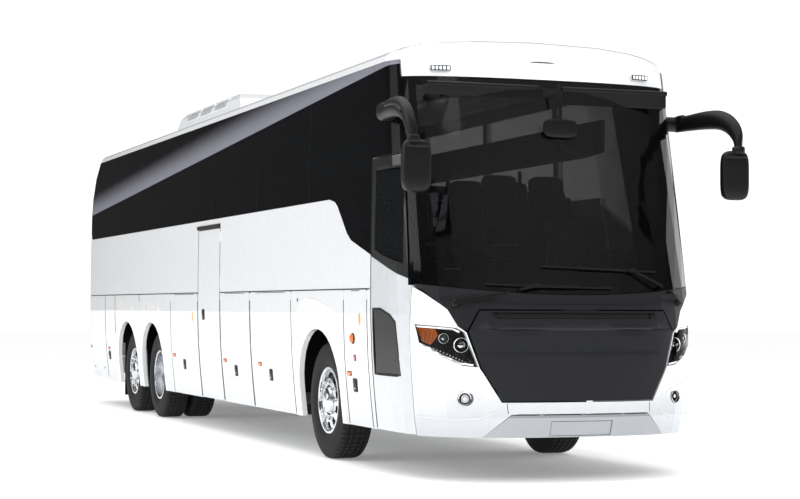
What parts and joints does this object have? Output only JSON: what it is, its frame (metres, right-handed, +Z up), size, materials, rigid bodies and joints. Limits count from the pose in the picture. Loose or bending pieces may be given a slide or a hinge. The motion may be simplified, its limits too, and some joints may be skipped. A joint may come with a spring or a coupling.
{
  "type": "coach bus",
  "caption": "Three-axle touring coach with steered front wheels, twin drive wheels, a tag axle, opening doors, luggage flaps, front hatch and engine door.",
  "frame": {"origin": "on the ground, under the middle of the coach's length and width", "axes": "+X forward, +Y to the coach's left, +Z up"},
  "size_m": [13.702, 2.9888, 3.75],
  "materials": {
    "painted_steel": "satin",
    "grey_lining": "matte",
    "black_plastic": "satin",
    "white_paint": "gloss",
    "silver_paint": "gloss",
    "tinted_glass": "gloss",
    "red_lens": "gloss",
    "seat_fabric": "woven",
    "tyre_rubber": "matte",
    "polished_alloy": "polished"
  },
  "bodies": {
    "body": {"front_frame": "painted_steel", "hold_frame": "painted_steel", "rear_frame": "painted_steel", "floor": "grey_lining", "entry_steps": "grey_lining", "luggage_holds": "grey_lining", "wheel_housings": "black_plastic", "roof": "white_paint", "air_conditioner": "white_paint", "right_wall": "white_paint", "left_wall": "white_paint", "right_windows": "tinted_glass", "left_windows": "tinted_glass", "wheel_arch_trims": "white_paint", "windscreen": "tinted_glass", "windscreen_frame": "black_plastic", "front_panel": "white_paint", "front_bumper": "silver_paint", "cowl_panel": "black_plastic", "rear_panel": "white_paint", "rear_window": "tinted_glass", "headlamps": "black_plastic", "tail_lamps": "red_lens", "mirrors": "black_plastic", "wipers": "black_plastic", "axles": "painted_steel", "engine": "painted_steel", "seats": "seat_fabric", "dashboard": "black_plastic", "luggage_racks": "black_plastic"},
    "front_door": {"front_door": "white_paint"},
    "middle_door": {"middle_door": "white_paint"},
    "right_flap_1": {"right_flap_1": "white_paint"},
    "right_flap_2": {"right_flap_2": "white_paint"},
    "right_flap_3": {"right_flap_3": "white_paint"},
    "service_flap": {"service_flap": "white_paint"},
    "left_flap_1": {"left_flap_1": "white_paint"},
    "left_flap_2": {"left_flap_2": "white_paint"},
    "left_flap_3": {"left_flap_3": "white_paint"},
    "front_hatch": {"front_hatch": "black_plastic"},
    "engine_door": {"engine_door": "white_paint"},
    "steering_wheel": {"steering_wheel": "black_plastic"},
    "right_knuckle": {"right_knuckle": "painted_steel"},
    "left_knuckle": {"left_knuckle": "painted_steel"},
    "front_right_wheel": {"front_right_tyre": "tyre_rubber", "front_right_rim": "polished_alloy"},
    "front_left_wheel": {"front_left_tyre": "tyre_rubber", "front_left_rim": "polished_alloy"},
    "drive_right_wheels": {"drive_right_tyres": "tyre_rubber", "drive_right_rims": "polished_alloy"},
    "drive_left_wheels": {"drive_left_tyres": "tyre_rubber", "drive_left_rims": "polished_alloy"},
    "tag_right_wheel": {"tag_right_tyre": "tyre_rubber", "tag_right_rim": "polished_alloy"},
    "tag_left_wheel": {"tag_left_tyre": "tyre_rubber", "tag_left_rim": "polished_alloy"}
  },
  "joints": [
    {"name": "right_steer", "type": "hinge", "parent": "body", "child": "right_knuckle", "pos_m": [4, -0.9, 0.52], "axis": [0, 0, 1], "range_deg": [-40, 40]},
    {"name": "left_steer", "type": "hinge", "parent": "body", "child": "left_knuckle", "pos_m": [4, 0.9, 0.52], "axis": [0, 0, 1], "range_deg": [-40, 40]},
    {"name": "front_right_spin", "type": "hinge", "parent": "right_knuckle", "child": "front_right_wheel", "pos_m": [4, -1.03, 0.52], "axis": [0, 1, 0], "continuous": true},
    {"name": "front_left_spin", "type": "hinge", "parent": "left_knuckle", "child": "front_left_wheel", "pos_m": [4, 1.03, 0.52], "axis": [0, 1, 0], "continuous": true},
    {"name": "drive_right_spin", "type": "hinge", "parent": "body", "child": "drive_right_wheels", "pos_m": [-2.7, -1.03, 0.52], "axis": [0, 1, 0], "continuous": true},
    {"name": "drive_left_spin", "type": "hinge", "parent": "body", "child": "drive_left_wheels", "pos_m": [-2.7, 1.03, 0.52], "axis": [0, 1, 0], "continuous": true},
    {"name": "tag_right_spin", "type": "hinge", "parent": "body", "child": "tag_right_wheel", "pos_m": [-4.13, -1.03, 0.52], "axis": [0, 1, 0], "continuous": true},
    {"name": "tag_left_spin", "type": "hinge", "parent": "body", "child": "tag_left_wheel", "pos_m": [-4.13, 1.03, 0.52], "axis": [0, 1, 0], "continuous": true},
    {"name": "steering_wheel_turn", "type": "hinge", "parent": "body", "child": "steering_wheel", "pos_m": [6.01, 0.6, 1.69], "axis": [-0.5736, 0, 0.8192], "range_deg": [-720, 720]},
    {"name": "front_door_swing", "type": "hinge", "parent": "body", "child": "front_door", "pos_m": [6.27, -1.22, 1.4], "axis": [0, 0, 1], "range_deg": [0, 90]},
    {"name": "middle_door_swing", "type": "hinge", "parent": "body", "child": "middle_door", "pos_m": [0.623, -1.274, 1.2], "axis": [0, 0, 1], "range_deg": [0, 90]},
    {"name": "right_flap_1_lift", "type": "hinge", "parent": "body", "child": "right_flap_1", "pos_m": [2.5, -1.275, 1.4967], "axis": [-1, 0, 0], "range_deg": [0, 95]},
    {"name": "right_flap_2_lift", "type": "hinge", "parent": "body", "child": "right_flap_2", "pos_m": [1.2, -1.275, 1.4967], "axis": [-1, 0, 0], "range_deg": [0, 95]},
    {"name": "right_flap_3_lift", "type": "hinge", "parent": "body", "child": "right_flap_3", "pos_m": [-1, -1.275, 1.4967], "axis": [-1, 0, 0], "range_deg": [0, 95]},
    {"name": "service_flap_lift", "type": "hinge", "parent": "body", "child": "service_flap", "pos_m": [5, -1.275, 1.4967], "axis": [-1, 0, 0], "range_deg": [0, 95]},
    {"name": "left_flap_1_lift", "type": "hinge", "parent": "body", "child": "left_flap_1", "pos_m": [2.5, 1.275, 1.4967], "axis": [1, 0, 0], "range_deg": [0, 95]},
    {"name": "left_flap_2_lift", "type": "hinge", "parent": "body", "child": "left_flap_2", "pos_m": [1.2, 1.275, 1.4967], "axis": [1, 0, 0], "range_deg": [0, 95]},
    {"name": "left_flap_3_lift", "type": "hinge", "parent": "body", "child": "left_flap_3", "pos_m": [-1, 1.275, 1.4967], "axis": [1, 0, 0], "range_deg": [0, 95]},
    {"name": "front_hatch_lift", "type": "hinge", "parent": "body", "child": "front_hatch", "pos_m": [6.7648, 0, 1.337], "axis": [0, -1, 0], "range_deg": [0, 80]},
    {"name": "engine_door_lift", "type": "hinge", "parent": "body", "child": "engine_door", "pos_m": [-6.85, 0, 1.896], "axis": [0, 1, 0], "range_deg": [0, 85]}
  ],
  "couplings": [
    {"joint": "left_steer", "follows": "right_steer", "ratio": 1},
    {"joint": "steering_wheel_turn", "follows": "right_steer", "ratio": 18}
  ]
}
